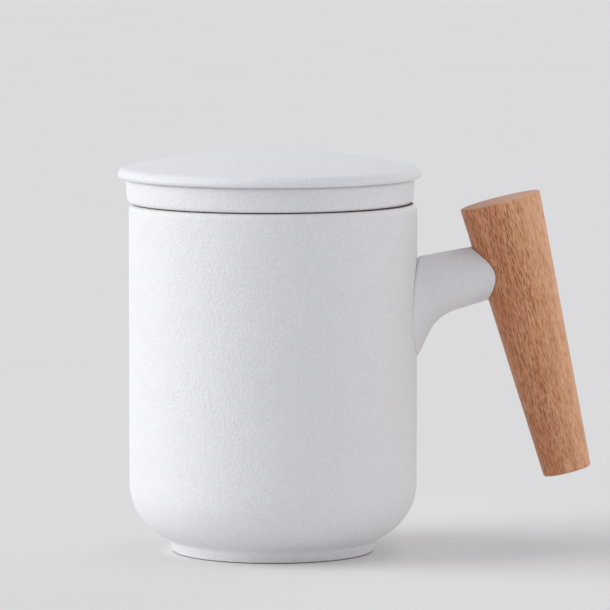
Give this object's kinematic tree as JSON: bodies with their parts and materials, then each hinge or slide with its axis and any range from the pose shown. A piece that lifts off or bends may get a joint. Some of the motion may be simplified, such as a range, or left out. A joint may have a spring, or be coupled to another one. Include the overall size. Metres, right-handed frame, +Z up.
{
  "type": "lidded tea mug",
  "caption": "Straight-sided stoneware tea mug on a small foot, with a drop-in perforated strainer, a loose domed lid and a tapered wooden grip on a side arm.",
  "frame": {"origin": "middle of the cup's foot, on the table plane", "axes": "+X from the cup's axis towards the arm and the grip, +Z up along the cup's axis"},
  "size_m": [0.1396, 0.0894, 0.1182],
  "materials": {
    "matte_glaze": "white sand-textured matte glaze",
    "beech": "oiled beech, fine sanded",
    "steel": "plain stainless",
    "epoxy": "cured epoxy, stained brown"
  },
  "bodies": {
    "mug": {"mug_body": "matte_glaze", "handle_arm": "matte_glaze", "wooden_grip": "beech", "handle_stud": "steel", "epoxy_bond": "epoxy"},
    "infuser": {"infuser": "matte_glaze"},
    "lid": {"lid": "matte_glaze"}
  },
  "joints": [
    {"name": "infuser_lift", "type": "slide", "parent": "mug", "child": "infuser", "axis": [0, 0, 1], "range_m": [0, 0.085]},
    {"name": "lid_lift", "type": "slide", "parent": "infuser", "child": "lid", "axis": [0, 0, 1], "range_m": [0, 0.04]}
  ]
}
